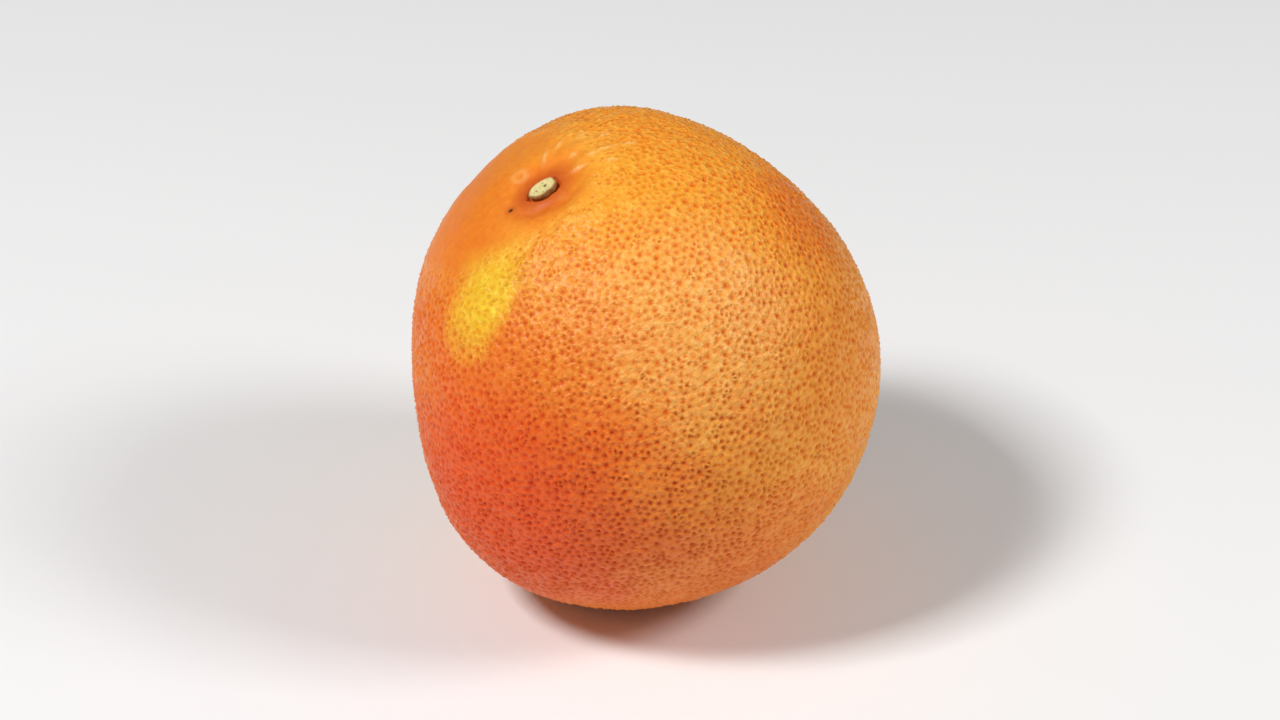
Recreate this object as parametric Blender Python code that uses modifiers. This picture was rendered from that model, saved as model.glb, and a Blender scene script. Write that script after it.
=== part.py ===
"""A whole pink grapefruit at rest, with the woody button of its cut stalk.

Frame: metres, +Z up. The origin lies on the surface that the fruit rests on, straight below the
fruit's centre. The core leans, as it does when a fruit is set down, and the empty called fruit_axis
carries that lean. In its frame +Z runs along the core to the stem end, and +X is the side that the
core leans towards.
"""
from math import acos, atan2, cos, exp, pi, radians, sin, sqrt

import bmesh
import bpy
from mathutils import Vector

# Overall size: half the fruit's width, and half its length along the core.
EQUATOR_RADIUS = 0.0507
POLE_RADIUS = 0.0526

# How far the core leans from upright, and the heading it leans towards, from +X round +Z, in degrees.
LEAN = 25.0
LEAN_HEADING = -153.0

# Broad swellings and flats of the form. Each is centred at a colatitude from the stem end and a
# longitude round the core, has an angular spread, all in degrees, and adds its height to the radius.
SWELLINGS = {
    "shoulder": {"colatitude": 44.0, "longitude": -127.0, "spread": 25.0, "height": 0.0026},
    "heel": {"colatitude": 110.0, "longitude": 9.0, "spread": 32.0, "height": 0.0035},
    "cheek": {"colatitude": 71.0, "longitude": -26.0, "spread": 31.0, "height": -0.0031},
    "flank": {"colatitude": 75.0, "longitude": -176.0, "spread": 28.5, "height": -0.0015},
}

# The crater at the stem end: a level floor that the button sits on, easing out to the form.
CRATER_RADIUS = 0.0110
CRATER_DEPTH = 0.0019
CRATER_FLOOR_MARGIN = 0.0005

# The shallow dimple at the blossom end.
DIMPLE_RADIUS = 0.0090
DIMPLE_DEPTH = 0.0008

# The flat spot that the fruit rests on reaches at least this far round the point below its centre.
SPOT_RADIUS = 0.0080
SPOT_SAMPLES = 36

# The button: a woody disc with a rounded rim and a slightly hollow face.
BUTTON_RADIUS = 0.0031
BUTTON_HEIGHT = 0.0016
BUTTON_BASE_RADIUS = 0.0026
BUTTON_RIM_ROUND = 0.0005
BUTTON_FACE_HOLLOW = 0.0002
BUTTON_CLEARANCE = 0.0003

# Mesh fineness. A crowding over 1 draws the rings together towards the stem end.
FRUIT_SEGMENTS = 64
FRUIT_RINGS = 40
RING_CROWDING = 1.35
BUTTON_STEPS = 32
RIM_POINTS = 5

PEEL_COLOUR = (0.87, 0.33, 0.07, 1.0)
BUTTON_COLOUR = (0.66, 0.55, 0.28, 1.0)


def clear_scene():
    """Remove every object that the file opened with."""
    for thing in list(bpy.data.objects):
        bpy.data.objects.remove(thing, do_unlink=True)


def new_collection(name):
    """Make a collection in the scene."""
    collection = bpy.data.collections.new(name)
    bpy.context.scene.collection.children.link(collection)
    return collection


def new_material(name, colour, roughness):
    """Make a plain non-metallic material."""
    material = bpy.data.materials.new(name)
    material.use_nodes = True
    shader = material.node_tree.nodes["Principled BSDF"]
    shader.inputs["Base Color"].default_value = colour
    shader.inputs["Roughness"].default_value = roughness
    shader.inputs["Metallic"].default_value = 0.0
    return material


def new_part(name, mesh, material, collection, parent):
    """Make the named object of one piece, smooth shaded and carried by its parent."""
    part = bpy.data.objects.new(name, mesh)
    mesh.materials.append(material)
    mesh.shade_smooth()
    collection.objects.link(part)
    part.parent = parent
    return part


def direction(colatitude, longitude):
    """Unit vector at an angle from the core and an angle round it, both in radians."""
    return Vector((sin(colatitude) * cos(longitude), sin(colatitude) * sin(longitude), cos(colatitude)))


def ease(share):
    """Rise smoothly from 0 to 1 as the share goes from 0 to 1, and stay level outside that range."""
    share = min(max(share, 0.0), 1.0)
    return share * share * (3.0 - 2.0 * share)


def form_radius(toward):
    """Distance from the centre to the form: an ellipsoid of revolution and its broad swellings."""
    across = 1.0 - toward.z ** 2
    radius = 1.0 / sqrt(across / EQUATOR_RADIUS ** 2 + toward.z ** 2 / POLE_RADIUS ** 2)
    for swelling in SWELLINGS.values():
        middle = direction(radians(swelling["colatitude"]), radians(swelling["longitude"]))
        angle = toward.angle(middle)
        radius += swelling["height"] * exp(-((angle / radians(swelling["spread"])) ** 2))
    return radius


def crater_floor_height():
    """Height of the crater's floor along the core, above the fruit's centre."""
    return form_radius(Vector((0.0, 0.0, 1.0))) - CRATER_DEPTH


def skin_point(colatitude, longitude):
    """Point on the fruit's surface, with the stem end's crater and the blossom end's dimple."""
    toward = direction(colatitude, longitude)
    point = toward * form_radius(toward)
    from_core = Vector((point.x, point.y)).length
    if point.z > 0.0:
        floor_radius = BUTTON_RADIUS + CRATER_FLOOR_MARGIN
        rise = ease((from_core - floor_radius) / (CRATER_RADIUS - floor_radius))
        floor = crater_floor_height()
        point.z = floor + (point.z - floor) * rise
    else:
        point.z += DIMPLE_DEPTH * (1.0 - ease(from_core / DIMPLE_RADIUS))
    return point


def make_fruit(collection, axis):
    """Make the fruit from a UV sphere whose points move out to the skin."""
    shape = bmesh.new()
    bmesh.ops.create_uvsphere(shape, u_segments=FRUIT_SEGMENTS, v_segments=FRUIT_RINGS, radius=1.0)
    for vertex in shape.verts:
        share = acos(min(max(vertex.co.z, -1.0), 1.0)) / pi
        longitude = atan2(vertex.co.y, vertex.co.x)
        vertex.co = skin_point(pi * share ** RING_CROWDING, longitude)
    mesh = bpy.data.meshes.new("fruit")
    shape.to_mesh(mesh)
    shape.free()
    material = new_material("fruit_peel", PEEL_COLOUR, 0.42)
    return new_part("fruit", mesh, material, collection, axis)


def rest_height(turn):
    """Height of the fruit's centre over the surface it rests on, once turned to its lean.

    The surface cuts the skin just deep enough to hold a ring of the spot's radius, straight below
    the centre, so the fruit's weight falls inside the flat spot.
    """
    slope = atan2(SPOT_RADIUS, EQUATOR_RADIUS)
    heights = []
    for sample in range(SPOT_SAMPLES):
        downward = -direction(slope, 2.0 * pi * sample / SPOT_SAMPLES)
        toward = turn.inverted() @ downward
        point = skin_point(acos(toward.z), atan2(toward.y, toward.x))
        heights.append(-(turn @ point).z)
    return min(heights)


def cut_flat_spot(fruit, cutters):
    """Cut away what dips below the resting surface with a slab whose top is that surface."""
    size = 4.0 * EQUATOR_RADIUS
    bpy.ops.mesh.primitive_cube_add(size=size, location=(0.0, 0.0, -size / 2))
    slab = bpy.context.object
    slab.name = "resting_surface_cutter"
    slab.hide_render = True
    slab.display_type = "WIRE"
    for collection in list(slab.users_collection):
        collection.objects.unlink(slab)
    cutters.objects.link(slab)
    cut = fruit.modifiers.new("flat_spot", "BOOLEAN")
    cut.operation = "DIFFERENCE"
    cut.solver = "EXACT"
    cut.object = slab


def button_profile():
    """Half section of the button, from the middle of its face round the rim to its base."""
    rim_centre = Vector((BUTTON_RADIUS - BUTTON_RIM_ROUND, BUTTON_HEIGHT - BUTTON_RIM_ROUND))
    points = [Vector((0.0, BUTTON_HEIGHT - BUTTON_FACE_HOLLOW))]
    points.append(Vector((rim_centre.x / 2, BUTTON_HEIGHT - BUTTON_FACE_HOLLOW)))
    for step in range(RIM_POINTS):
        turn = pi / 2 * (1.0 - step / (RIM_POINTS - 1))
        points.append(rim_centre + BUTTON_RIM_ROUND * Vector((cos(turn), sin(turn))))
    points.append(Vector((BUTTON_BASE_RADIUS, 0.0)))
    points.append(Vector((0.0, 0.0)))
    return points


def make_button(collection, axis):
    """Make the stem button by turning its profile about the core, just clear of the crater floor."""
    profile = button_profile()
    mesh = bpy.data.meshes.new("stem_button")
    edges = [(index, index + 1) for index in range(len(profile) - 1)]
    mesh.from_pydata([(point.x, 0.0, point.y) for point in profile], edges, [])
    material = new_material("button_wood", BUTTON_COLOUR, 0.75)
    button = new_part("stem_button", mesh, material, collection, axis)
    button.location.z = crater_floor_height() + BUTTON_CLEARANCE
    turning = button.modifiers.new("turn", "SCREW")
    turning.axis = "Z"
    turning.angle = 2.0 * pi
    turning.steps = BUTTON_STEPS
    turning.render_steps = BUTTON_STEPS
    turning.use_merge_vertices = True
    turning.merge_threshold = 0.00001
    turning.use_smooth_shade = True


def main():
    """Model the grapefruit."""
    clear_scene()
    collection = new_collection("grapefruit")
    cutters = new_collection("cutters")
    axis = bpy.data.objects.new("fruit_axis", None)
    collection.objects.link(axis)
    axis.rotation_euler = (0.0, radians(LEAN), radians(LEAN_HEADING))
    axis.location.z = rest_height(axis.rotation_euler.to_matrix())
    fruit = make_fruit(collection, axis)
    cut_flat_spot(fruit, cutters)
    make_button(collection, axis)


main()
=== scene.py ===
# %% [markdown]
# # A pink grapefruit, from its pores to its stem button
#
# This lesson dresses a plain solid grapefruit in the skin of a real one. The solid already has the
# right size and form, and it is loaded first as a fixed frame. It has two pieces: the fruit, and the
# woody button left where the stalk was clipped. Each gets a detailed surface of its own, worked out
# with numpy, and a material built from shader nodes.

# %% Load the frame
import math

import bmesh
import bpy
import numpy as np
from mathutils import Matrix, Vector


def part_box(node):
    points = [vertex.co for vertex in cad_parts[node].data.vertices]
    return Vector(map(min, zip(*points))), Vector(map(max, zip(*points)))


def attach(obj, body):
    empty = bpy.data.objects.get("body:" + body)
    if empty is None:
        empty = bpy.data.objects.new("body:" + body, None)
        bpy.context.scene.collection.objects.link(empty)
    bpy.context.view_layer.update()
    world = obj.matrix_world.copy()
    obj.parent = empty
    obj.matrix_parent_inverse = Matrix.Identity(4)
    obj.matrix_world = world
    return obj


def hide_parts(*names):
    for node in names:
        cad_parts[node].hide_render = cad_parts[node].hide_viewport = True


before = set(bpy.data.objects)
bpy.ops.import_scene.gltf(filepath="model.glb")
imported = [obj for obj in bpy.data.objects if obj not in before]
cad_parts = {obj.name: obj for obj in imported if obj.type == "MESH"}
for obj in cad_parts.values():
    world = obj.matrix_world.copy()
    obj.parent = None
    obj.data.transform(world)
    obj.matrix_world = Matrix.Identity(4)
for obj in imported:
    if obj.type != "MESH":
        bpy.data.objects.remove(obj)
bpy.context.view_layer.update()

fruit_low, fruit_high = (np.array(corner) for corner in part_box("fruit"))
button_low, button_high = (np.array(corner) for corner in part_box("stem_button"))
print("fruit, mm:", np.round(1000 * (fruit_high - fruit_low), 1))

# %% [markdown]
# ## The form
#
# A grapefruit is close to a ball, but never quite one. Here it is an ellipsoid of revolution round
# the core, and a few broad swellings and flats, each a bell curve of the angle from its own middle.
# Directions from the fruit's centre are unit vectors in the fruit's own frame, where +Z runs along the
# core to the stem end. One formula gives the radius for a whole array of directions at once. These are
# the sizes that the frame was designed with, in metres and degrees.

# %% Sizes of the form
EQUATOR_RADIUS = 0.0507
POLE_RADIUS = 0.0526
LEAN = 25.0
LEAN_HEADING = -153.0
SWELLINGS = [
    # colatitude, longitude, spread, height
    (44.0, -127.0, 25.0, 0.0026),
    (110.0, 9.0, 32.0, 0.0035),
    (71.0, -26.0, 31.0, -0.0031),
    (75.0, -176.0, 28.5, -0.0015),
]
CRATER_RADIUS = 0.0110
CRATER_DEPTH = 0.0019
CRATER_FLOOR_RADIUS = 0.0036
DIMPLE_RADIUS = 0.0090
DIMPLE_DEPTH = 0.0008


def toward(colatitude, longitude):
    """Unit vector at angles in degrees from the core and round it."""
    down, round_core = np.radians(colatitude), np.radians(longitude)
    across = np.sin(down)
    return np.stack([across * np.cos(round_core), across * np.sin(round_core), np.cos(down)], -1)


def angle_from(directions, colatitude, longitude):
    """Angle in degrees between each direction and a named place on the fruit."""
    return np.degrees(np.arccos(np.clip(directions @ toward(colatitude, longitude), -1.0, 1.0)))


def ease(low, high, value):
    """Smooth step: 0 below low, 1 above high, and 3t^2 - 2t^3 between, with t the share of the way."""
    share = np.clip((value - low) / (high - low), 0.0, 1.0)
    return share * share * (3.0 - 2.0 * share)


def form_radius(directions):
    """Radius = 1 / sqrt(across^2 / a^2 + along^2 / c^2), plus a bell curve for each swelling."""
    along = directions[:, 2] ** 2
    radius = 1.0 / np.sqrt((1.0 - along) / EQUATOR_RADIUS**2 + along / POLE_RADIUS**2)
    for colatitude, longitude, spread, height in SWELLINGS:
        radius += height * np.exp(-((angle_from(directions, colatitude, longitude) / spread) ** 2))
    return radius


def form_points(directions):
    """Points of the form in the fruit's own frame, with the crater and the blossom end's dimple."""
    points = directions * form_radius(directions)[:, None]
    from_core = np.hypot(points[:, 0], points[:, 1])
    floor = form_radius(toward(0.0, 0.0)[None])[0] - CRATER_DEPTH
    rise = ease(CRATER_FLOOR_RADIUS, CRATER_RADIUS, from_core)
    dimple = DIMPLE_DEPTH * (1.0 - ease(0.0, DIMPLE_RADIUS, from_core))
    upper = points[:, 2] > 0.0
    points[:, 2] = np.where(upper, floor + (points[:, 2] - floor) * rise, points[:, 2] + dimple)
    return points


# %% [markdown]
# ## Set it down
#
# The core leans, so the fruit's own frame is turned: first the lean, then its heading round the
# vertical. The height comes from the frame's box, so that the top of the form meets the top of the
# solid. Where the fruit rests, its weight flattens the skin, which a soft maximum does: it follows the
# form where that is high over the surface, and levels out just above the surface where the form would
# go below it.

# %% Turn and raise
lean, heading = math.radians(LEAN), math.radians(LEAN_HEADING)
leaning_to = np.array([math.cos(heading), math.sin(heading), 0.0])
core = math.sin(lean) * leaning_to + math.cos(lean) * np.array([0.0, 0.0, 1.0])
side = np.array([-math.sin(heading), math.cos(heading), 0.0])
TURN = np.stack([np.cross(side, core), side, core])
SPOT_SOFTNESS = 0.0003
ANGLE_STEPS = 20001
SURVEY_COUNT = 20000


def golden_directions(count, crowding=()):
    """Directions in a spiral from the stem end, each a golden angle round from the last.

    The share of points within an angle of the core is the share of the sphere's area there, and each
    crowding, an amount and a spread in radians, adds amount * (1 - exp(-(angle / spread)^2)) to it.
    """
    angle = np.linspace(0.0, math.pi, ANGLE_STEPS)
    within = 0.5 * (1.0 - np.cos(angle))
    for amount, spread in crowding:
        within += amount * (1.0 - np.exp(-((angle / spread) ** 2)))
    step = np.arange(count) + 0.5
    down = np.interp(step / count, within / within[-1], angle)
    turn = math.pi * (3.0 - math.sqrt(5.0)) * step
    return np.stack([np.sin(down) * np.cos(turn), np.sin(down) * np.sin(turn), np.cos(down)], -1)


survey = form_points(golden_directions(SURVEY_COUNT))
CENTRE = np.array([0.0, 0.0, fruit_high[2] - (survey @ TURN)[:, 2].max()])


def set_down(points):
    """Turn points from the fruit's frame to the world and level out the flat spot."""
    world = points @ TURN + CENTRE
    world[:, 2] = 0.5 * (world[:, 2] + np.sqrt(world[:, 2] ** 2 + SPOT_SOFTNESS**2))
    return world


print("centre of the fruit, mm above the surface:", round(1000 * CENTRE[2], 2))
low_corner_off = set_down(survey).min(0) - fruit_low
print("low corner of the form against the solid's, mm:", np.round(1000 * low_corner_off, 2))

# %% [markdown]
# ## Where the pores are
#
# Citrus peel is covered with small pits, each over an oil gland, about two millimetres apart. They
# could be a bump texture, but then the outline stays smooth and an exported mesh has none. So the
# mesh is built around them: one point for each pit, spread evenly but not in rows, and triangles
# between neighbouring pits. Points on a golden spiral are even but too regular, so they are shaken
# and then relaxed: each moves a few times to the middle of its neighbours. They crowd together towards
# the stem, because the skin is more detailed there. The triangles are the faces of the convex hull of
# the directions, because on a sphere that is the Delaunay triangulation.

# %% Spread the pores
PORE_COUNT = 10900
PORE_SHAKE = 0.5
CALM_ANGLE, FULL_SHAKE_ANGLE = 0.10, 0.40
STEM_CROWDING = [(0.050, 0.30), (0.020, 0.11)]
PORE_ROUNDS = 3
chance = np.random.default_rng(7)


def unit(vectors):
    """Scale each vector to length 1."""
    return vectors / np.linalg.norm(vectors, axis=1, keepdims=True)


def hull_triangles(directions):
    """Corner numbers of the convex hull's triangles, all turned to face outwards."""
    shell = bmesh.new()
    mesh = bpy.data.meshes.new("hull")
    mesh.vertices.add(len(directions))
    mesh.vertices.foreach_set("co", directions.astype(np.float32).ravel())
    shell.from_mesh(mesh)
    bmesh.ops.convex_hull(shell, input=shell.verts, use_existing_faces=False)
    shell.to_mesh(mesh)
    shell.free()
    corners = np.empty(3 * len(mesh.polygons), np.int32)
    mesh.polygons.foreach_get("vertices", corners)
    bpy.data.meshes.remove(mesh)
    corners = corners.reshape(-1, 3)
    a, b, c = (directions[corners[:, k]] for k in range(3))
    inward = np.einsum("ij,ij->i", np.cross(b - a, c - a), a + b + c) < 0.0
    corners[inward] = corners[inward][:, ::-1]
    return corners


def relax(directions):
    """Move each point to the mean of the middles of the triangles round it.

    A thousandth of each direction is added, so that a point outside every triangle stays where it is.
    """
    corners = hull_triangles(directions)
    middles = directions[corners].mean(1)
    total = 0.001 * directions
    for k in range(3):
        np.add.at(total, corners[:, k], middles)
    return unit(total)


pores = golden_directions(PORE_COUNT, STEM_CROWDING)
pore_gap = math.sqrt(4.0 * math.pi / PORE_COUNT)
shake = PORE_SHAKE * pore_gap * ease(CALM_ANGLE, FULL_SHAKE_ANGLE, np.arccos(pores[:, 2]))
pores = unit(pores + chance.normal(size=pores.shape) * shake[:, None])
for _ in range(PORE_ROUNDS):
    pores = relax(pores)
cells = hull_triangles(pores)
used = np.unique(cells)
pores, cells = pores[used], np.searchsorted(used, cells)
pore_count = len(pores)
print("pores:", pore_count, " mean gap, mm:", round(1000 * pore_gap * EQUATOR_RADIUS, 2))

# %% [markdown]
# ## The lattice
#
# Each triangle between three pits becomes nine: one at each pit, as part of the pit's own small
# hexagon, and six round the triangle's middle, which form the raised skin between the pits. So the
# mesh has three kinds of point: the bottoms of the pits, the points round their rims, and the middles.
# A rim point lies on the line from one pit to a neighbour, so there is one for each ordered pair of
# neighbours. Pits differ: each has a strength of its own, which sets its radius and later its depth.

# %% Rims and middles
PIT_RADIUS = 0.00078
WEAKEST_PIT = 0.45
FARTHEST_RIM = 0.43


def span_mm(values):
    """Smallest and largest of some distances, in millimetres."""
    return np.round(1000 * values.min(), 2), "to", np.round(1000 * values.max(), 2)


strength = WEAKEST_PIT + (1.0 - WEAKEST_PIT) * chance.beta(1.1, 1.0, pore_count)
pit_radius = PIT_RADIUS * (0.60 + 0.55 * strength)

pair_from = cells[:, [0, 1, 1, 2, 2, 0]]
pair_to = cells[:, [1, 0, 2, 1, 0, 2]]
pair_keys, pair_number = np.unique(pair_from * pore_count + pair_to, return_inverse=True)
pair_number = pair_number.reshape(-1, 6)
rim_pore = pair_keys // pore_count
rim_next = pair_keys % pore_count

span = np.linalg.norm(pores[rim_next] - pores[rim_pore], axis=1)
reach = np.minimum(pit_radius[rim_pore] / EQUATOR_RADIUS / span, FARTHEST_RIM)
rims = unit(pores[rim_pore] + (pores[rim_next] - pores[rim_pore]) * reach[:, None])
middles = unit(pores[cells].mean(1))
directions = np.concatenate([pores, rims, middles])
print("pit radius, mm:", *span_mm(pit_radius))

# %% Nine triangles for each cell
# Corners a, b and c are pits, ab is the rim point of a on the way to b, and m is the cell's middle.
rim_start, middle_start = pore_count, pore_count + len(rims)
ab, ba, bc, cb, ca, ac = (rim_start + pair_number[:, k] for k in range(6))
a, b, c = (cells[:, k] for k in range(3))
m = middle_start + np.arange(len(cells))
triangles = np.concatenate([
    np.stack(corner, 1)
    for corner in [(a, ab, ac), (b, bc, ba), (c, ca, cb),
                   (m, ab, ba), (m, ba, bc), (m, bc, cb), (m, cb, ca), (m, ca, ac), (m, ac, ab)]
])
first, second, third = (directions[triangles[:, k]] for k in range(3))
inward = np.einsum("ij,ij->i", np.cross(second - first, third - first), first) < 0.0
triangles[inward] = triangles[inward][:, ::-1]
print("lattice points:", len(directions), " triangles:", len(triangles))

# %% [markdown]
# ## The button's outline
#
# The woody button in the crater is an oval with soft lobes. Its outline comes first, because the skin
# closes round it: the radius is a mean, times 1 plus a cosine of twice the angle for the oval, times 1
# plus small cosines of 5 and 9 times the angle for the lobes.

# %% Button outline
BUTTON_ACROSS = 0.0055
BUTTON_OVAL = 0.16


def outline(angle):
    """Radius of the button at each angle round the core, in radians."""
    oval = 1.0 + BUTTON_OVAL * np.cos(2.0 * angle)
    lobes = 1.0 + 0.030 * np.cos(5.0 * angle + 0.7) + 0.015 * np.cos(9.0 * angle)
    return 0.5 * BUTTON_ACROSS * oval * lobes


once_round = outline(np.linspace(0.0, 2.0 * math.pi, 360))
print("button radius, mm:", *span_mm(once_round))

# %% [markdown]
# ## Relief on the skin
#
# The skin moves in or out along its own normal by a height that adds up several things, from large to
# small. Places are given as an angle from the stem and a longitude round the core, and distances in
# metres along the skin. The first part is soft: undulations over the whole fruit and a finer ripple.
# They are sums of plane waves, which have no seam or pole on a sphere, as a map of noise would.

# %% Undulation and ripple
UNDULATION = 0.00010
RIPPLE = 0.00005


def waves(directions, wavelength, count, seed):
    """Smooth noise between about -1 and 1: a sum of plane waves in random directions and phases."""
    dice = np.random.default_rng(seed)
    pitch = unit(dice.normal(size=(count, 3))) * (2.0 * math.pi * EQUATOR_RADIUS / wavelength)
    pitch *= dice.uniform(0.7, 1.4, size=(count, 1))
    phase = dice.uniform(0.0, 2.0 * math.pi, size=count)
    return np.sin(directions @ pitch.T + phase).sum(1) / math.sqrt(count)


def bell(value, middle, spread):
    """Bell curve exp(-((value - middle) / spread)^2)."""
    return np.exp(-(((value - middle) / spread) ** 2))


def turn_between(longitude, middle):
    """Difference of two longitudes in degrees, from -180 to 180."""
    return (longitude - middle + 180.0) % 360.0 - 180.0


colatitude = np.degrees(np.arccos(np.clip(directions[:, 2], -1.0, 1.0)))
longitude = np.degrees(np.arctan2(directions[:, 1], directions[:, 0]))
from_stem = EQUATOR_RADIUS * np.radians(colatitude)

undulation = UNDULATION * waves(directions, 0.016, 24, 1) + RIPPLE * waves(directions, 0.0045, 60, 2)
print("undulation, mm:", *span_mm(undulation))

# %% [markdown]
# ## Round the stem
#
# As the fruit swells, the skin bulges up round the stalk and puckers. On one side it makes a lip with a
# groove inside it, right round the button it closes as a collar, and on the other side it gathers in
# short folds. All are ridges: bell curves of the distance from a line, fading out at the line's ends.

# %% Lip, groove and collar
# The lip of the crater stands up on one side. Its crest winds away from the stem as the longitude
# falls, and it is steeper inside than outside.
LIP_HEIGHT = 0.00055
LIP_LONGITUDES = [15.0, 29.0, 44.0, 56.0, 78.0, 94.0, 130.0]
LIP_COLATITUDES = [28.0, 23.9, 18.9, 16.2, 13.3, 13.9, 17.5]
lip_crest = np.interp(longitude, LIP_LONGITUDES, LIP_COLATITUDES) + 0.7 * waves(directions, 0.008, 9, 3)
lip_off = np.radians(colatitude - lip_crest) * EQUATOR_RADIUS
lip_run = ease(12.0, 32.0, longitude) * (1.0 - ease(92.0, 140.0, longitude))
lip = LIP_HEIGHT * lip_run * bell(lip_off, 0.0, np.where(lip_off < 0.0, 0.0011, 0.0030))

# A groove runs past the button on the same side, between it and the lip.
GROOVE_DEPTH = 0.00030
groove_off = from_stem - (0.0052 + 0.000035 * np.abs(turn_between(longitude, 70.0)))
groove_run = bell(turn_between(longitude, 50.0), 0.0, 75.0)
groove = GROOVE_DEPTH * groove_run * bell(groove_off, 0.0, 0.0011)

# The skin closes round the button as a low collar.
COLLAR_HEIGHT = 0.00115
from_button = from_stem - outline(np.radians(longitude))
collar = COLLAR_HEIGHT * ease(0.0001, 0.0006, from_button) * (1.0 - ease(0.0009, 0.0046, from_button))

print("lip and collar, mm:", np.round(1000 * lip.max(), 2), np.round(1000 * collar.max(), 2))

# %% Folds
FOLD_HEIGHT = 0.00034
FOLD_SLANT = 0.15
FOLDS = [
    # colatitude, longitude, half length, half width
    (11.0, -120.0, 0.00170, 0.00045),
    (14.5, -132.0, 0.00140, 0.00042),
    (11.3, -157.0, 0.00085, 0.00050),
    (9.4, 176.0, 0.00140, 0.00040),
    (13.8, -175.0, 0.00070, 0.00050),
    (17.3, -176.0, 0.00190, 0.00042),
    (20.6, -160.0, 0.00120, 0.00045),
    (18.4, -146.0, 0.00100, 0.00040),
    (16.5, 168.0, 0.00110, 0.00040),
    (22.5, -178.0, 0.00120, 0.00045),
]
folds = np.zeros(len(directions))
for fold_colatitude, fold_longitude, half_length, half_width in FOLDS:
    down = np.radians(colatitude - fold_colatitude) * EQUATOR_RADIUS
    aside = np.radians(turn_between(longitude, fold_longitude)) * EQUATOR_RADIUS
    aside = aside * np.sin(np.radians(colatitude)) + FOLD_SLANT * down
    folds = np.maximum(folds, bell(down, 0.0, half_length) * bell(aside, 0.0, half_width))
print("folds:", len(FOLDS))

# %% [markdown]
# ## Scars, wrinkles and a crease
#
# A fruit keeps marks of how it grew. These are an old scar beside the button, the blossom end where the
# flower fell off, a fan of wrinkles and one faint crease.

# %% Marks of growth
# One old scar beside the button is a small hollow with a raised ring.
SCAR_PLACE = (9.4, -78.7)
scar_off = np.radians(angle_from(directions, *SCAR_PLACE)) * EQUATOR_RADIUS
old_scar = 0.00012 * bell(scar_off, 0.0013, 0.0006) - 0.00025 * bell(scar_off, 0.0, 0.0006)

# The blossom end keeps a small round hollow with a low ring, where the flower fell off.
from_blossom = EQUATOR_RADIUS * np.radians(180.0 - colatitude)
blossom_scar = 0.00020 * bell(from_blossom, 0.0034, 0.0009) - 0.00050 * bell(from_blossom, 0.0, 0.0020)

# Wrinkles fan out on the other side: ridges round the core, wavering as they run outwards.
WRINKLE_HEIGHT = 0.00034
fan = np.radians(longitude) * 12.0 + 1.3 * waves(directions, 0.009, 12, 4)
ridge = (0.5 + 0.5 * np.cos(fan)) ** 2
reach_of_fan = ease(0.0045, 0.0085, from_stem) * (1.0 - ease(0.0130, 0.0205, from_stem))
fan_side = 0.2 + 0.8 * bell(turn_between(longitude, -155.0), 0.0, 62.0)
fan_height = WRINKLE_HEIGHT * (0.65 + 0.35 * waves(directions, 0.007, 12, 5))
wrinkles = fan_height * ridge * reach_of_fan * fan_side

# A faint crease runs round the near side, from longitude 20 to 120, slowly away from the stem.
CREASE_DEPTH = 0.00012
crease_line = 38.0 + 0.385 * (longitude - 25.5) + 1.2 * waves(directions, 0.010, 9, 6)
crease_off = np.radians(colatitude - crease_line) * EQUATOR_RADIUS
crease_run = ease(12.0, 34.0, longitude) * (1.0 - ease(98.0, 128.0, longitude))
crease = CREASE_DEPTH * crease_run * (bell(crease_off, 0.0012, 0.0010) - bell(crease_off, 0.0, 0.0008))
print("wrinkles, mm:", np.round(1000 * wrinkles.max(), 2))

# %% [markdown]
# ## The pits and the skin between them
#
# The pits fade out towards the stem, and further out on one side, where the skin stays smooth. Between
# pits the skin swells up by random amounts, so the pits lie in a net of soft, uneven ridges. The rim
# points drop only a little, which gives each pit the shape of a bowl.

# %% Pits and swells
PIT_DEPTH = 0.00060
RIM_SHARE = 0.10
FAINTEST_PITS = 0.16
SWELL_LOW, SWELL_HIGH = -0.00006, 0.00026

smooth_side = bell(turn_between(longitude, -60.0), 0.0, 60.0)
pitted_from = 0.0085 + 0.0290 * smooth_side + 0.0015 * waves(directions, 0.008, 12, 8)
pitted = ease(pitted_from, pitted_from + 0.013, from_stem)
rough = ease(pitted_from - 0.0025, pitted_from + 0.0050, from_stem)
pitted = np.maximum(pitted, FAINTEST_PITS * ease(0.006, 0.020, from_stem))

# They are shallower in a patch about 10 degrees wide, which later gets the golden colour.
golden_middle = angle_from(directions, 29.0, 22.0)
pitted = pitted * (1.0 - 0.35 * (1.0 - ease(7.0, 13.0, golden_middle)))
pit_strength = np.concatenate([strength, strength[rim_pore], np.zeros(len(middles))]) * pitted
pit_share = np.concatenate([np.ones(pore_count), np.full(len(rims), RIM_SHARE), np.zeros(len(middles))])
swell = chance.uniform(SWELL_LOW, SWELL_HIGH, len(middles))
swell = np.concatenate([np.zeros(middle_start), swell]) * rough

height = undulation + lip - groove + collar + FOLD_HEIGHT * folds + old_scar + blossom_scar
height += wrinkles + crease + swell - PIT_DEPTH * pit_share * pit_strength
print("relief, mm:", *span_mm(height))

# %% [markdown]
# ## The skin as a mesh
#
# The form is set down first, and its normals are worked out from its triangles: each point gets the
# sum of the normals of the faces round it. Then every point moves along its normal by its height, and
# nothing goes below the surface that the fruit rests on.

# %% Make the skin
def point_normals(points, triangles):
    """Normal at each point: the sum of its faces' cross products, scaled to length 1."""
    a, b, c = (points[triangles[:, k]] for k in range(3))
    faces = np.cross(b - a, c - a)
    total = np.zeros_like(points)
    for k in range(3):
        np.add.at(total, triangles[:, k], faces)
    return unit(total)


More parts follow.
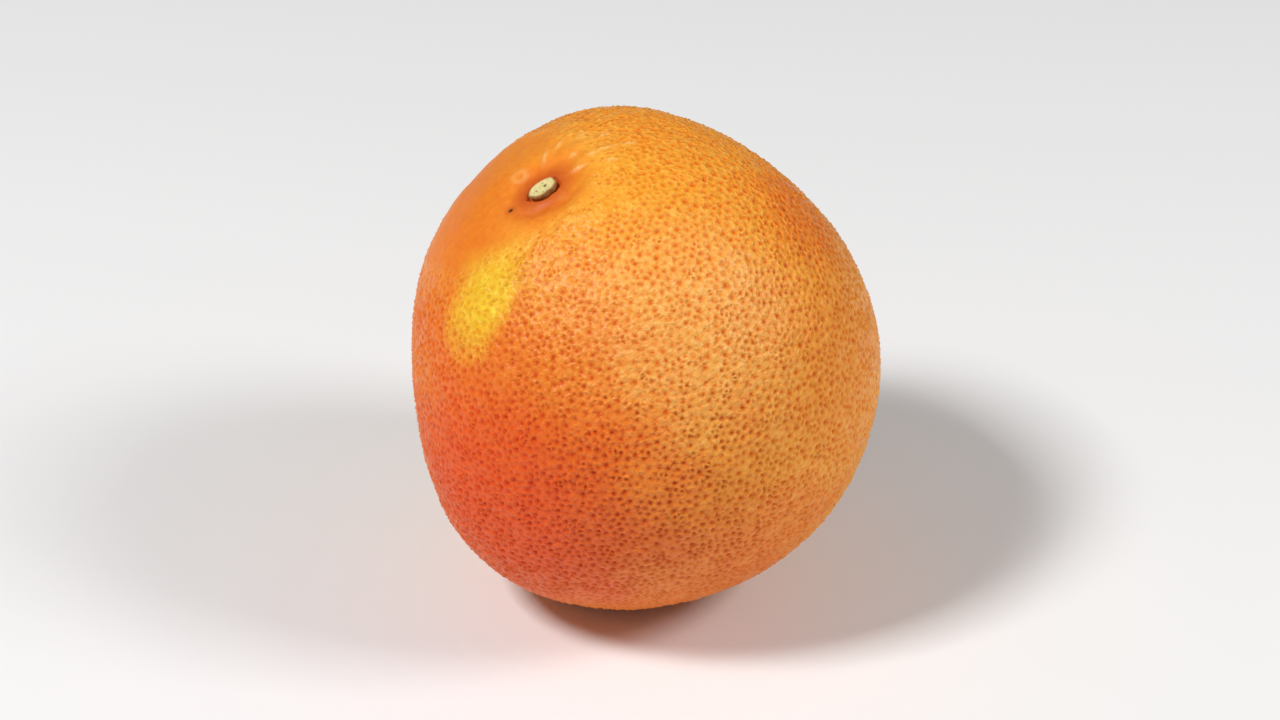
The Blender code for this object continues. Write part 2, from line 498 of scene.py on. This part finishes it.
def make_piece(name, points, faces, attributes):
    """Make a smooth-shaded mesh object with float attributes on its points."""
    mesh = bpy.data.meshes.new(name)
    mesh.from_pydata(points.tolist(), [], faces)
    for label, values in attributes.items():
        layer = mesh.attributes.new(label, "FLOAT", "POINT")
        layer.data.foreach_set("value", values.astype(np.float32))
    mesh.shade_smooth()
    piece = bpy.data.objects.new(name, mesh)
    bpy.context.scene.collection.objects.link(piece)
    return piece


base = set_down(form_points(directions))
skin_points = base + point_normals(base, triangles) * height[:, None]
skin_points[:, 2] = np.maximum(skin_points[:, 2], 0.0)
print("skin, mm:", np.round(1000 * (skin_points.max(0) - skin_points.min(0)), 1))

# %% [markdown]
# ## Where the colours are
#
# The peel is pale orange, with golden patches where it ripened in the shade, a red blush on the sunny
# side that also carries painted shade on the lower front, a pale patch of painted sheen where the broad
# highlight falls, and a deeper, even orange where it is smooth near the stem. Each is a soft-edged
# patch: the angle from its middle, made uneven by smooth noise, and eased from 1 inside to 0 outside.
# The masks are kept on the mesh as attributes, with the pits' strength, so that the material can use
# them. Masks painted on an image would need an unwrapped map, and these need none.

# %% Colour patches
def patch(middle, inside, outside, seed, uneven=0.25):
    """Mask of a soft patch: 1 within the inside angle of its middle, 0 beyond the outside angle."""
    angle = angle_from(directions, *middle)
    angle = angle * (1.0 + uneven * waves(directions, 0.020, 12, seed))
    return 1.0 - ease(inside, outside, angle)


def long_patch(middle, along, west, east, slant, seed, uneven=0.10):
    """Mask of an oval patch along the meridian, with a different reach to each side of its middle.

    The middle's longitude shifts by the slant for each degree away from the stem.
    """
    down = (colatitude - middle[0]) / along
    line = middle[1] + slant * (colatitude - middle[0])
    aside = turn_between(longitude, line) * np.sin(np.radians(colatitude))
    off = np.hypot(down, aside / np.where(aside > 0.0, east, west))
    off *= 1.0 + uneven * waves(directions, 0.010, 12, seed)
    return 1.0 - ease(0.30, 1.20, off)


gold = np.maximum.reduce([
    1.0 * long_patch((29.0, 26.5), 14.5, 13.5, 7.6, -0.6, 11),
    0.15 * patch((19.0, 140.0), 4.0, 22.0, 12, 0.15),
    0.40 * patch((128.0, -90.0), 6.0, 34.0, 13),
    0.30 * patch((70.0, -150.0), 4.0, 26.0, 14),
])
blush_and_shade = np.maximum.reduce([
    1.0 * patch((82.0, 26.0), 12.0, 76.0, 15, 0.10),
    0.45 * patch((66.0, 158.0), 4.0, 26.0, 16, 0.15),
    0.15 * patch((86.0, 126.0), 8.0, 40.0, 19, 0.15),
    # Painted shade: this patch deepens the lower front to red-orange, where that side falls in shadow.
    0.50 * patch((120.0, 62.0), 18.0, 52.0, 20, 0.10),
    0.55 * patch((100.0, -120.0), 6.0, 44.0, 17),
])
near_stem = 1.0 - ease(0.004, 0.014, from_stem)
smooth_orange = np.maximum(0.85 * patch((30.0, -38.0), 14.0, 44.0, 18, 0.10), near_stem)
blush_and_shade = blush_and_shade * (1.0 - gold) * (1.0 - near_stem)
# A pale patch of painted sheen on the front, where the lights' broad highlight falls.
painted_sheen = patch((52.0, 96.0), 6.0, 38.0, 21, 0.08)
print("share of the points, golden and blushed:", np.round([gold.mean(), blush_and_shade.mean()], 2))

# %% Skin and its masks
RIM_COLOUR_SHARE = 0.22
rims_and_middles = [np.full(len(rims), RIM_COLOUR_SHARE), np.zeros(len(middles))]
pore = np.concatenate([np.ones(pore_count), *rims_and_middles]) * pit_strength
# Painted shade: darker red-brown skin round the button, fading out over 6 mm, and along the groove.
collar_shade = 1.0 - ease(0.0, 0.0062, from_button)
groove_shade = 0.6 * groove_run * bell(groove_off, 0.0, 0.0020)

skin = make_piece("skin", skin_points, triangles.tolist(), {
    "pore": pore,
    "gold": gold,
    "blush_and_shade": blush_and_shade,
    "painted_sheen": painted_sheen,
    "smooth_orange": smooth_orange,
    "rough": rough,
    # Mask of the painted highlight on the raised folds, and more faintly on the old scar's ring.
    "fold_highlight": np.maximum(folds, 0.35 * bell(scar_off, 0.0013, 0.0007)),
    "painted_shade": np.maximum(collar_shade, groove_shade),
})
print("skin:", len(skin.data.vertices), "points,", len(skin.data.polygons), "faces")

# %% [markdown]
# ## Node helpers
#
# Materials are trees of nodes. A few small functions keep them readable: one adds a node and sets its
# inputs, either to a value or by linking another node's output, and the others each add one common
# node and give back its result.

# %% Helpers for node trees
def add_node(tree, kind, inputs=None, **settings):
    """Add a node, set its properties, and give its inputs values or links."""
    node = tree.nodes.new(kind)
    for key, value in settings.items():
        setattr(node, key, value)
    for key, value in (inputs or {}).items():
        if isinstance(value, bpy.types.NodeSocket):
            tree.links.new(value, node.inputs[key])
        else:
            node.inputs[key].default_value = value
    return node


def mix_colour(tree, mask, low, high, blend="MIX"):
    """Blend from the low colour to the high one by a mask, and return the result's socket."""
    inputs = {0: mask, 6: low, 7: high}
    node = add_node(tree, "ShaderNodeMix", inputs, data_type="RGBA", blend_type=blend)
    return node.outputs[2]


def arithmetic(tree, operation, *values):
    """A Math node's result."""
    node = add_node(tree, "ShaderNodeMath", dict(enumerate(values)), operation=operation)
    return node.outputs[0]


def remap(tree, value, low, high, to_low=0.0, to_high=1.0):
    """Map a value from one range to another, held within the second."""
    node = add_node(tree, "ShaderNodeMapRange", {0: value, 1: low, 2: high, 3: to_low, 4: to_high})
    return node.outputs[0]


def noise(tree, position, scale, detail, **inputs):
    """A noise texture's value at a position."""
    inputs = {"Vector": position, "Scale": scale, "Detail": detail, **inputs}
    return add_node(tree, "ShaderNodeTexNoise", inputs).outputs["Fac"]


def attribute(tree, name):
    """A float attribute of the mesh as a node output."""
    return add_node(tree, "ShaderNodeAttribute", attribute_name=name).outputs["Fac"]


def new_material(name):
    """A material with only a Principled BSDF and its output, ready for nodes."""
    material = bpy.data.materials.new(name)
    material.use_nodes = True
    tree = material.node_tree
    return material, tree, tree.nodes["Principled BSDF"]


# %% [markdown]
# ## Speckle, shared by both materials
#
# Peel and wood both have fine mottling: small, soft changes of tone. It is one node group with a
# scale, used in each material with its own values, and it puts out a tone between 0 and 1.

# %% Mottle group
def build_mottle():
    """Node group: two sizes of noise at a position, added and stretched from 0 to 1."""
    tree = bpy.data.node_groups.new("mottle", "ShaderNodeTree")
    tree.interface.new_socket("Position", in_out="INPUT", socket_type="NodeSocketVector")
    tree.interface.new_socket("Scale", in_out="INPUT", socket_type="NodeSocketFloat")
    tree.interface.new_socket("Tone", in_out="OUTPUT", socket_type="NodeSocketFloat")
    entry = add_node(tree, "NodeGroupInput")
    position, scale = entry.outputs["Position"], entry.outputs["Scale"]
    broad = noise(tree, position, scale, 3.0)
    fine = noise(tree, position, arithmetic(tree, "MULTIPLY", scale, 4.3), 2.0)
    both = arithmetic(tree, "MULTIPLY_ADD", fine, 0.4, arithmetic(tree, "MULTIPLY", broad, 0.6))
    add_node(tree, "NodeGroupOutput", {"Tone": remap(tree, both, 0.3, 0.7)})
    return tree


mottle = build_mottle()


def mottled(tree, position, scale):
    """Place the mottle group in a material."""
    node = add_node(tree, "ShaderNodeGroup", node_tree=mottle)
    tree.links.new(position, node.inputs["Position"])
    node.inputs["Scale"].default_value = scale
    return node.outputs["Tone"]


# %% [markdown]
# ## The peel
#
# Peel is a thin coloured skin full of oil over white pith. Light goes a little way in and comes out
# warmer, so it has some subsurface scattering, and its natural wax gives a soft sheen, a thin coat.
# The colour is layered: the patches first, then a mottle, then paler ridges with a painted sheen and
# deeper dots in the pits, where the glands lie and painted shade darkens the hollows, then the marks.
# Ridges, pits and mottle multiply the colour beneath, so each patch keeps its hue. The values above 1
# in them brighten.

# %% Peel colours
PALE_ORANGE = (0.92, 0.345, 0.030, 1.0)
GOLDEN = (0.93, 0.52, 0.022, 1.0)
# Colour of the painted sheen.
PAINTED_SHEEN = (0.94, 0.41, 0.080, 1.0)
# Red of the blush, also used for the painted shade on the lower front.
BLUSH_AND_SHADE_RED = (0.84, 0.095, 0.005, 1.0)
EVEN_ORANGE = (0.87, 0.22, 0.012, 1.0)
# Colour of the pits: the glands' own deeper orange together with painted shade in the hollows.
GLAND_AND_PIT_SHADE = (0.83, 0.40, 0.06, 1.0)
GLAND_AND_PIT_SHADE_IN_GOLD = (0.88, 0.66, 0.20, 1.0)
# Paler skin with a painted sheen on it, for the ridges between pits and the crests of the waves.
PALE_RIDGE_SHEEN = (1.05, 1.22, 1.65, 1.0)
DEEP_TONE = (0.90, 0.72, 0.45, 1.0)
PALE_TONE = (1.04, 1.14, 1.25, 1.0)
# Colour of the painted highlight on the folds' crests.
FOLD_HIGHLIGHT = (0.97, 0.56, 0.19, 1.0)
# Tint of the painted shade in the crater; the speck's halo takes the same tint.
PAINTED_SHADE_TINT = (0.70, 0.46, 0.90, 1.0)
SPECK_BROWN = (0.10, 0.018, 0.006, 1.0)
BLOSSOM_BROWN = (0.30, 0.13, 0.035, 1.0)

peel, tree, shader = new_material("peel")
position = add_node(tree, "ShaderNodeTexCoord").outputs["Object"]
broad_tone = mottled(tree, position, 60.0)
fine_tone = mottled(tree, position, 700.0)
gold_mask = attribute(tree, "gold")
colour = mix_colour(tree, attribute(tree, "smooth_orange"), PALE_ORANGE, EVEN_ORANGE)
colour = mix_colour(tree, attribute(tree, "painted_sheen"), colour, PAINTED_SHEEN)
colour = mix_colour(tree, attribute(tree, "blush_and_shade"), colour, BLUSH_AND_SHADE_RED)
colour = mix_colour(tree, gold_mask, colour, GOLDEN)
fine_share = arithmetic(tree, "MULTIPLY", fine_tone, 0.75)
tone = arithmetic(tree, "MULTIPLY_ADD", broad_tone, 0.25, fine_share)
shade = mix_colour(tree, tone, DEEP_TONE, PALE_TONE)
colour = mix_colour(tree, 1.0, colour, shade, "MULTIPLY")
print("nodes for the patches and the mottle:", len(tree.nodes))

# %% [markdown]
# ## Waves and small pores
#
# Between the pits there is finer texture than the mesh can hold: small waves that run round the core,
# and small pores. A mesh with those would be several times as large, so they are worked out in the
# material, where they tint the colour and feed the bump. The waves' crests get a painted sheen, and
# the small pores get the pits' painted shade.

# %% Fine texture of the peel
def ring_waves(tree, position):
    """Height from 0 to 1 of small waves of the skin that run round the core.

    The position is turned to the fruit's frame and stretched along the core, so noise there is longer
    round the core than along it.
    """
    inputs = {"Vector": position, "Rotation": Matrix(TURN.tolist()).to_euler()}
    turned = add_node(tree, "ShaderNodeMapping", inputs).outputs[0]
    stretched = add_node(tree, "ShaderNodeMapping", {"Vector": turned, "Scale": (1.0, 1.0, 2.2)})
    return noise(tree, stretched.outputs[0], 460.0, 1.0)


def small_pores(tree, position):
    """Mask of the small pores between the pits: cells whose middles happen to lie near the surface."""
    cells = add_node(tree, "ShaderNodeTexVoronoi", {"Vector": position, "Scale": 640.0})
    return remap(tree, cells.outputs["Distance"], 0.12, 0.34, 1.0, 0.0)


rough_mask = attribute(tree, "rough")
wave = ring_waves(tree, position)
wave_sheen_mask = arithmetic(tree, "MULTIPLY", remap(tree, wave, 0.50, 0.72), rough_mask)
# The waves' crests are made paler with a painted sheen.
wave_sheen = mix_colour(tree, 1.0, colour, PALE_RIDGE_SHEEN, "MULTIPLY")
colour = mix_colour(tree, wave_sheen_mask, colour, wave_sheen)

faint_or_full = remap(tree, rough_mask, 0.0, 1.0, 0.15, 1.0)
small = arithmetic(tree, "MULTIPLY", small_pores(tree, position), faint_or_full)
small_pit = arithmetic(tree, "MULTIPLY", small, 0.65)
pore_mask = attribute(tree, "pore")
# The pits and small pores get a deeper, darker colour: the glands' tint and painted shade.
pit_mask = arithmetic(tree, "MAXIMUM", remap(tree, pore_mask, 0.18, 0.80), small_pit)
gland_and_shade_tint = mix_colour(tree, gold_mask, GLAND_AND_PIT_SHADE, GLAND_AND_PIT_SHADE_IN_GOLD)
gland_and_shade = mix_colour(tree, 1.0, colour, gland_and_shade_tint, "MULTIPLY")
colour = mix_colour(tree, pit_mask, colour, gland_and_shade)

# The ridges between the pits are made paler with a painted sheen.
between_pits = remap(tree, pore_mask, 0.0, 0.16, 1.0, 0.0)
ridge_sheen_mask = arithmetic(tree, "MULTIPLY", between_pits, rough_mask)
ridge_sheen = mix_colour(tree, 1.0, colour, PALE_RIDGE_SHEEN, "MULTIPLY")
colour = mix_colour(tree, ridge_sheen_mask, colour, ridge_sheen)
print("nodes with the fine texture:", len(tree.nodes))

# %% [markdown]
# ## Marks on the peel
#
# The folds near the stem, and more faintly the ring of the old scar, are paler than the skin round
# them: a painted highlight on their raised crests. The skin round the button and along the groove is
# darkened to a red-brown, painted shade in the crater. There is one brown speck by the stem, with a
# faint halo in the same tint, and a brown scar at the blossom end. The fold highlights and the painted
# shade follow masks on the mesh. The round marks are distances from a place on the skin.

# %% Fold highlights, painted shade, speck and scar
SPECK_PLACE = (8.7, -10.0)
SPECK_RADIUS = 0.00072
HALO_RADIUS = 0.0016
BLOSSOM_SCAR_RADIUS = 0.0030


def speck_mask(tree, position, place, radius):
    """Mask of a small round mark on the skin, at a place given as colatitude and longitude."""
    middle = set_down(form_points(toward(*place)[None]))[0]
    off = add_node(tree, "ShaderNodeVectorMath", {0: position, 1: tuple(middle)}, operation="DISTANCE")
    return remap(tree, off.outputs["Value"], 0.55 * radius, radius, 1.0, 0.0)


# The folds and the scar's ring get a painted highlight.
fold_highlight_mask = arithmetic(tree, "MULTIPLY", attribute(tree, "fold_highlight"), 0.75)
colour = mix_colour(tree, fold_highlight_mask, colour, FOLD_HIGHLIGHT)
# The painted shade darkens the skin round the button and along the groove.
painted_shade = mix_colour(tree, 1.0, colour, PAINTED_SHADE_TINT, "MULTIPLY")
colour = mix_colour(tree, attribute(tree, "painted_shade"), colour, painted_shade)
halo = speck_mask(tree, position, SPECK_PLACE, HALO_RADIUS)
colour = mix_colour(tree, arithmetic(tree, "MULTIPLY", halo, 0.5), colour, painted_shade)
speck = speck_mask(tree, position, SPECK_PLACE, SPECK_RADIUS)
colour = mix_colour(tree, speck, colour, SPECK_BROWN)
blossom = speck_mask(tree, position, (180.0, 0.0), BLOSSOM_SCAR_RADIUS)
patchy = remap(tree, fine_tone, 0.0, 0.6, 0.5, 0.95)
colour = mix_colour(tree, arithmetic(tree, "MULTIPLY", blossom, patchy), colour, BLOSSOM_BROWN)
print("nodes with the marks:", len(tree.nodes))

# %% [markdown]
# ## The peel's shine
#
# The bump holds what is finer than the mesh: the waves, the small pores and a grain. It nearly stops
# where the skin is smooth. The wax on the ridges is satin, and the bottoms of the pits are dull.

# %% Relief and shine
grain = noise(tree, position, 900.0, 2.0, Roughness=0.6)
relief = arithmetic(tree, "MULTIPLY_ADD", wave, 0.65, grain)
relief = arithmetic(tree, "MULTIPLY_ADD", small, -0.25, relief)
relief = arithmetic(tree, "MULTIPLY", relief, remap(tree, rough_mask, 0.0, 1.0, 0.16, 1.0))
bump = add_node(tree, "ShaderNodeBump", {"Height": relief, "Distance": 0.00050, "Strength": 1.0})
satin = remap(tree, rough_mask, 0.0, 1.0, 0.42, 0.27)
roughness = arithmetic(tree, "MULTIPLY_ADD", fine_tone, 0.14, satin)
roughness = arithmetic(tree, "MULTIPLY_ADD", pit_mask, 0.40, roughness)
tree.links.new(colour, shader.inputs["Base Color"])
tree.links.new(roughness, shader.inputs["Roughness"])
tree.links.new(bump.outputs["Normal"], shader.inputs["Normal"])
shader.inputs["Subsurface Weight"].default_value = 0.12
shader.inputs["Subsurface Radius"].default_value = (1.0, 0.35, 0.10)
shader.inputs["Subsurface Scale"].default_value = 0.0012
shader.inputs["IOR"].default_value = 1.45
shader.inputs["Specular IOR Level"].default_value = 0.28
shader.inputs["Coat Weight"].default_value = 0.07
shader.inputs["Coat Roughness"].default_value = 0.25
skin.data.materials.append(peel)
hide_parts("fruit")
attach(skin, "root")
print("peel nodes:", len(tree.nodes))

# %% [markdown]
# ## The stem button
#
# When a grapefruit is clipped, a woody disc stays in the crater. It is slightly oval and lobed, its
# face is pale and dry, cut a little aslant, with dark scars in a ring where the sap vessels were, and
# its edge is brown. It is a grid over angle and radius: rows run from the middle of the face, over the
# rounded rim and down the side to the middle of the base, and the outline's radius changes with angle.

# %% Rows of the button
BUTTON_HEIGHT = 0.0016
BUTTON_SINK = 0.0001
COLUMNS = 120
FACE_ROWS = 34
RIM_ROWS = 8
RIM_START = 0.86
RIM_FOOT = 0.80

button_middle = 0.5 * (button_low + button_high)
button_foot = button_middle - core * (0.5 * BUTTON_HEIGHT + BUTTON_SINK)

# Each row is a share of the outline's radius, and a height as a share of the button's: the face, the
# quarter circle of the rim, the side, and the base.
rim_turn = np.linspace(0.0, 0.5 * math.pi, RIM_ROWS + 1)[1:]
face_radius = np.linspace(0.03, RIM_START, FACE_ROWS)
rim_radius = RIM_START + (1.0 - RIM_START) * np.sin(rim_turn)
side_radius = [1.0, 0.97, 0.92, 0.88, 0.86, 0.60, 0.20]
rim_height = RIM_FOOT + (1.0 - RIM_FOOT) * np.cos(rim_turn)
side_height = [0.66, 0.50, 0.32, 0.14, 0.0, 0.0, 0.0]
profile_radius = np.concatenate([face_radius, rim_radius, side_radius])
profile_height = np.concatenate([np.ones(FACE_ROWS), rim_height, side_height])
rows = len(profile_radius)
print("button rows:", rows)

# %% Face and scars of the button
FACE_TILT = 4.0
FACE_HOLLOW = 0.00018
FIBRE_HEIGHT = 0.000025
SCAR_DEPTH = 0.00022
SCARS = [
    # longitude in degrees, distance from the middle as a share of the radius, radius in metres, depth
    (-172.0, 0.24, 0.00040, 1.0),
    (-5.0, 0.42, 0.00030, 0.8),
    (72.0, 0.66, 0.00024, 0.8),
    (128.0, 0.62, 0.00022, 0.7),
    (-120.0, 0.60, 0.00022, 0.6),
    (-45.0, 0.62, 0.00020, 0.5),
]

angle = np.arange(COLUMNS) * 2.0 * math.pi / COLUMNS
share, turn = np.meshgrid(profile_radius, angle, indexing="ij")
level = np.repeat(profile_height[:, None], COLUMNS, 1)
radius = share * outline(turn)
flat_x, flat_y = radius * np.cos(turn), radius * np.sin(turn)

# The first two rows of the rim still belong to the face.
is_face = (np.arange(rows) < FACE_ROWS + 2)[:, None] & np.ones(COLUMNS, bool)
up = level * BUTTON_HEIGHT
up += level * math.tan(math.radians(FACE_TILT)) * flat_y
hollow = FACE_HOLLOW * (1.0 - ease(0.0, 0.85, share))
fibres = FIBRE_HEIGHT * np.sin(31.0 * turn + 3.0 * np.sin(4.0 * turn)) * ease(0.1, 0.5, share)
up -= np.where(is_face, hollow - fibres, 0.0)
scar = np.zeros_like(up)
for scar_angle, out, scar_radius, depth in SCARS:
    scar_turn = math.radians(scar_angle)
    place = out * outline(scar_turn)
    off = np.hypot(flat_x - place * math.cos(scar_turn), flat_y - place * math.sin(scar_turn))
    scar = np.maximum(scar, depth * bell(off, 0.0, scar_radius))
scar = np.where(is_face, scar, 0.0)
up -= SCAR_DEPTH * scar
print("scars on the face:", len(SCARS))

# %% Button mesh
# A point in the middle of the face and one in the middle of the base close the grid.
grid = np.stack([flat_x, flat_y, up], -1).reshape(-1, 3)
top = np.array([[0.0, 0.0, BUTTON_HEIGHT - FACE_HOLLOW]])
bottom = np.array([[0.0, 0.0, 0.0]])
button_points = button_foot + np.concatenate([grid, top, bottom]) @ TURN

number = np.arange(rows * COLUMNS).reshape(rows, COLUMNS)
beside = np.roll(number, -1, 1)
quads = np.stack([number[:-1], number[1:], beside[1:], beside[:-1]], -1).reshape(-1, 4)
top_fan = np.stack([np.full(COLUMNS, rows * COLUMNS), number[0], beside[0]], -1)
bottom_fan = np.stack([np.full(COLUMNS, rows * COLUMNS + 1), beside[-1], number[-1]], -1)
button_faces = quads.tolist() + top_fan.tolist() + bottom_fan.tolist()
rim_tone = np.where(is_face, ease(0.80, 1.0, share), 1.0)
button = make_piece("button", button_points, button_faces, {
    "rim": np.concatenate([rim_tone.ravel(), [0.0, 1.0]]),
    "scar": np.concatenate([scar.ravel(), [0.0, 0.0]]),
})
print("button:", len(button.data.polygons), "faces")

# %% [markdown]
# ## The button's wood
#
# Dry cut wood is pale cream with greenish brown vessels, and the bark round it is brown. It scatters
# light at its surface only, so it is rough, with no coat.

# %% Button material
DULL_CUT = (0.60, 0.47, 0.17, 1.0)
PALE_CUT = (0.90, 0.80, 0.38, 1.0)
DARK_BARK = (0.22, 0.09, 0.02, 1.0)
PALE_BARK = (0.50, 0.27, 0.07, 1.0)
VESSEL = (0.14, 0.10, 0.015, 1.0)

wood, tree, shader = new_material("button_wood")
position = add_node(tree, "ShaderNodeTexCoord").outputs["Object"]
tone = mottled(tree, position, 1500.0)
face = mix_colour(tree, tone, DULL_CUT, PALE_CUT)
edge = mix_colour(tree, tone, DARK_BARK, PALE_BARK)
colour = mix_colour(tree, attribute(tree, "rim"), face, edge)
vessel_mask = remap(tree, attribute(tree, "scar"), 0.15, 0.75)
colour = mix_colour(tree, vessel_mask, colour, VESSEL)
grain = noise(tree, position, 5000.0, 3.0)
bump = add_node(tree, "ShaderNodeBump", {"Height": grain, "Distance": 0.00008, "Strength": 0.7})
tree.links.new(colour, shader.inputs["Base Color"])
tree.links.new(bump.outputs["Normal"], shader.inputs["Normal"])
tree.links.new(remap(tree, tone, 0.0, 1.0, 0.65, 0.85), shader.inputs["Roughness"])
button.data.materials.append(wood)
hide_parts("stem_button")
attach(button, "root")
print("wood nodes:", len(tree.nodes))

# %% [markdown]
# ## Floor, light and camera
#
# The stage is plain: a pale floor that runs out of view, a soft light above on the left, a weaker one
# on the right, and a pale sky that fills the shadows. Two lights from the sides rake across the pits,
# so they show. The camera has a long lens and looks down at the fruit from the front.

# %% Floor and sky
FLOOR_SIZE = 6.0
PAPER = (0.88, 0.88, 0.88, 1.0)
SKY_STRENGTH = 0.15

half = FLOOR_SIZE / 2
floor_corners = [(-half, -half, 0.0), (half, -half, 0.0), (half, half, 0.0), (-half, half, 0.0)]
floor_mesh = bpy.data.meshes.new("floor")
floor_mesh.from_pydata(floor_corners, [], [(0, 1, 2, 3)])
floor = bpy.data.objects.new("floor", floor_mesh)
bpy.context.scene.collection.objects.link(floor)
paper, tree, shader = new_material("floor_paper")
shader.inputs["Base Color"].default_value = PAPER
shader.inputs["Roughness"].default_value = 0.9
floor.data.materials.append(paper)

world = bpy.data.worlds.new("sky")
bpy.context.scene.world = world
world.use_nodes = True
background = world.node_tree.nodes["Background"]
background.inputs["Color"].default_value = (1.0, 1.0, 1.0, 1.0)
background.inputs["Strength"].default_value = SKY_STRENGTH
print("floor, m:", FLOOR_SIZE)

# %% Lights
AIM = np.array([0.0, 0.0, CENTRE[2]])


def point_at(thing, place, target):
    """Put a light or camera at a place and turn its -Z towards the target."""
    thing.location = place
    thing.rotation_euler = (Vector(target) - Vector(place)).to_track_quat("-Z", "Y").to_euler()
    bpy.context.scene.collection.objects.link(thing)


def soft_light(name, place, size, power):
    """A square area light that faces the fruit."""
    data = bpy.data.lights.new(name, "AREA")
    data.size = size
    data.energy = power
    point_at(bpy.data.objects.new(name, data), place, AIM)


soft_light("key", (-0.80, -0.44, 1.24), 0.32, 17.2)
soft_light("fill", (1.00, -0.26, 0.93), 0.40, 8.4)
print("lights:", [light.name for light in bpy.data.lights])

# %% Camera
CAMERA_HEIGHT_ANGLE = math.radians(32.0)
CAMERA_DISTANCE = 0.755
LENS = 100.0
SENSOR_WIDTH = 36.0

camera_data = bpy.data.cameras.new("camera")
camera_data.lens = LENS
camera_data.sensor_width = SENSOR_WIDTH
camera = bpy.data.objects.new("camera", camera_data)
back = np.array([0.0, -math.cos(CAMERA_HEIGHT_ANGLE), math.sin(CAMERA_HEIGHT_ANGLE)])
point_at(camera, AIM + back * CAMERA_DISTANCE, AIM)
bpy.context.scene.camera = camera
bpy.context.scene.view_settings.view_transform = "Standard"
print("camera, m:", np.round(camera.location, 3))
